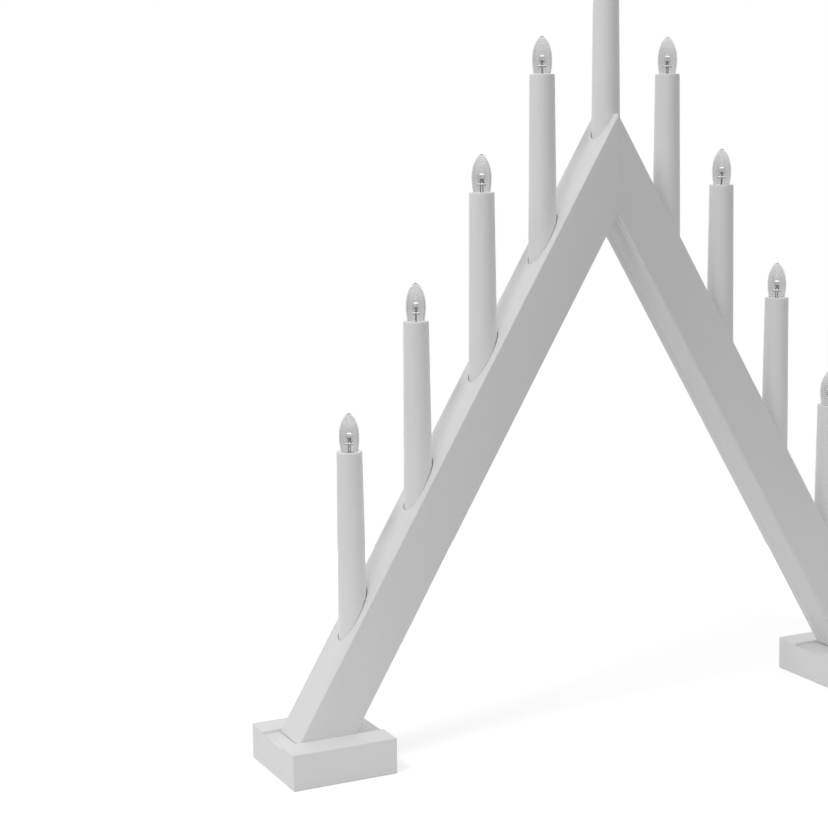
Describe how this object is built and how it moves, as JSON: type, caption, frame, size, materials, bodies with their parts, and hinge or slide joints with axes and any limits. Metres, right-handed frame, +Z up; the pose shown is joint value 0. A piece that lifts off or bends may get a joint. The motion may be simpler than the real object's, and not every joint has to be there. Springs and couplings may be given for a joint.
{
  "type": "advent candle holder",
  "caption": "Two white wooden legs leaning together on square feet, with a row of electric candles rising to the top; each small clear lamp unscrews.",
  "frame": {"origin": "on the table, midway between the two feet and midway from front to back", "axes": "+X along the holder to the right leg, -Y to the front, +Z up"},
  "size_m": [0.554, 0.08, 0.6096],
  "materials": {
    "painted_wood": "white satin paint, fine brush and grain marks",
    "candle_plastic": "white, semi-matt, slightly waxy",
    "clear_glass": "clear, smooth",
    "diode_resin": "clear cast resin, white plate, tinned leads",
    "brass": "rolled, bright",
    "solder": "dull solder",
    "white_plastic": "moulded, fine texture",
    "wire_sheath": "smooth sheath",
    "zinc_plate": "bright zinc plate",
    "beech": "bare, fluted"
  },
  "bodies": {
    "root": {"left_leg": "painted_wood", "right_leg": "painted_wood", "left_foot": "painted_wood", "right_foot": "painted_wood", "left_cover": "painted_wood", "right_cover": "painted_wood", "apex_dowels": "beech", "foot_screws": "zinc_plate", "cord_gland": "white_plastic", "wiring": "wire_sheath", "lamp_holders": "white_plastic", "screw_shells": "brass", "centre_contacts": "brass", "sleeve_1": "candle_plastic", "sleeve_2": "candle_plastic", "sleeve_3": "candle_plastic", "sleeve_4": "candle_plastic", "sleeve_5": "candle_plastic", "sleeve_6": "candle_plastic", "sleeve_7": "candle_plastic", "sleeve_8": "candle_plastic", "sleeve_9": "candle_plastic"},
    "lamp_1_tip": {"lamp_tip_1": "solder"},
    "lamp_1": {"lamp_glass_1": "clear_glass", "lamp_cap_1": "brass", "lamp_core_1": "diode_resin"},
    "lamp_2_tip": {"lamp_tip_2": "solder"},
    "lamp_2": {"lamp_glass_2": "clear_glass", "lamp_cap_2": "brass", "lamp_core_2": "diode_resin"},
    "lamp_3_tip": {"lamp_tip_3": "solder"},
    "lamp_3": {"lamp_glass_3": "clear_glass", "lamp_cap_3": "brass", "lamp_core_3": "diode_resin"},
    "lamp_4_tip": {"lamp_tip_4": "solder"},
    "lamp_4": {"lamp_glass_4": "clear_glass", "lamp_cap_4": "brass", "lamp_core_4": "diode_resin"},
    "lamp_5_tip": {"lamp_tip_5": "solder"},
    "lamp_5": {"lamp_glass_5": "clear_glass", "lamp_cap_5": "brass", "lamp_core_5": "diode_resin"},
    "lamp_6_tip": {"lamp_tip_6": "solder"},
    "lamp_6": {"lamp_glass_6": "clear_glass", "lamp_cap_6": "brass", "lamp_core_6": "diode_resin"},
    "lamp_7_tip": {"lamp_tip_7": "solder"},
    "lamp_7": {"lamp_glass_7": "clear_glass", "lamp_cap_7": "brass", "lamp_core_7": "diode_resin"},
    "lamp_8_tip": {"lamp_tip_8": "solder"},
    "lamp_8": {"lamp_glass_8": "clear_glass", "lamp_cap_8": "brass", "lamp_core_8": "diode_resin"},
    "lamp_9_tip": {"lamp_tip_9": "solder"},
    "lamp_9": {"lamp_glass_9": "clear_glass", "lamp_cap_9": "brass", "lamp_core_9": "diode_resin"}
  },
  "joints": [
    {"name": "lamp_1_rise", "type": "slide", "parent": "root", "child": "lamp_1_tip", "axis": [0, 0, 1], "range_m": [0, 0.00726]},
    {"name": "lamp_1_unscrew", "type": "hinge", "parent": "lamp_1_tip", "child": "lamp_1", "pos_m": [-0.2123, 0, 0.22908], "axis": [0, 0, 1], "range_deg": [0, 1440]},
    {"name": "lamp_2_rise", "type": "slide", "parent": "root", "child": "lamp_2_tip", "axis": [0, 0, 1], "range_m": [0, 0.00726]},
    {"name": "lamp_2_unscrew", "type": "hinge", "parent": "lamp_2_tip", "child": "lamp_2", "pos_m": [-0.1583, 0, 0.31895], "axis": [0, 0, 1], "range_deg": [0, 1440]},
    {"name": "lamp_3_rise", "type": "slide", "parent": "root", "child": "lamp_3_tip", "axis": [0, 0, 1], "range_m": [0, 0.00726]},
    {"name": "lamp_3_unscrew", "type": "hinge", "parent": "lamp_3_tip", "child": "lamp_3", "pos_m": [-0.1043, 0, 0.40882], "axis": [0, 0, 1], "range_deg": [0, 1440]},
    {"name": "lamp_4_rise", "type": "slide", "parent": "root", "child": "lamp_4_tip", "axis": [0, 0, 1], "range_m": [0, 0.00726]},
    {"name": "lamp_4_unscrew", "type": "hinge", "parent": "lamp_4_tip", "child": "lamp_4", "pos_m": [-0.054, 0, 0.49253], "axis": [0, 0, 1], "range_deg": [0, 1440]},
    {"name": "lamp_5_rise", "type": "slide", "parent": "root", "child": "lamp_5_tip", "axis": [0, 0, 1], "range_m": [0, 0.00726]},
    {"name": "lamp_5_unscrew", "type": "hinge", "parent": "lamp_5_tip", "child": "lamp_5", "pos_m": [0, 0, 0.5824], "axis": [0, 0, 1], "range_deg": [0, 1440]},
    {"name": "lamp_6_rise", "type": "slide", "parent": "root", "child": "lamp_6_tip", "axis": [0, 0, 1], "range_m": [0, 0.00726]},
    {"name": "lamp_6_unscrew", "type": "hinge", "parent": "lamp_6_tip", "child": "lamp_6", "pos_m": [0.054, 0, 0.49253], "axis": [0, 0, 1], "range_deg": [0, 1440]},
    {"name": "lamp_7_rise", "type": "slide", "parent": "root", "child": "lamp_7_tip", "axis": [0, 0, 1], "range_m": [0, 0.00726]},
    {"name": "lamp_7_unscrew", "type": "hinge", "parent": "lamp_7_tip", "child": "lamp_7", "pos_m": [0.1043, 0, 0.40882], "axis": [0, 0, 1], "range_deg": [0, 1440]},
    {"name": "lamp_8_rise", "type": "slide", "parent": "root", "child": "lamp_8_tip", "axis": [0, 0, 1], "range_m": [0, 0.00726]},
    {"name": "lamp_8_unscrew", "type": "hinge", "parent": "lamp_8_tip", "child": "lamp_8", "pos_m": [0.1583, 0, 0.31895], "axis": [0, 0, 1], "range_deg": [0, 1440]},
    {"name": "lamp_9_rise", "type": "slide", "parent": "root", "child": "lamp_9_tip", "axis": [0, 0, 1], "range_m": [0, 0.00726]},
    {"name": "lamp_9_unscrew", "type": "hinge", "parent": "lamp_9_tip", "child": "lamp_9", "pos_m": [0.2123, 0, 0.22908], "axis": [0, 0, 1], "range_deg": [0, 1440]}
  ],
  "couplings": [
    {"joint": "lamp_1_unscrew", "follows": "lamp_1_rise", "rad_per_m": 3463.7},
    {"joint": "lamp_2_unscrew", "follows": "lamp_2_rise", "rad_per_m": 3463.7},
    {"joint": "lamp_3_unscrew", "follows": "lamp_3_rise", "rad_per_m": 3463.7},
    {"joint": "lamp_4_unscrew", "follows": "lamp_4_rise", "rad_per_m": 3463.7},
    {"joint": "lamp_5_unscrew", "follows": "lamp_5_rise", "rad_per_m": 3463.7},
    {"joint": "lamp_6_unscrew", "follows": "lamp_6_rise", "rad_per_m": 3463.7},
    {"joint": "lamp_7_unscrew", "follows": "lamp_7_rise", "rad_per_m": 3463.7},
    {"joint": "lamp_8_unscrew", "follows": "lamp_8_rise", "rad_per_m": 3463.7},
    {"joint": "lamp_9_unscrew", "follows": "lamp_9_rise", "rad_per_m": 3463.7}
  ]
}
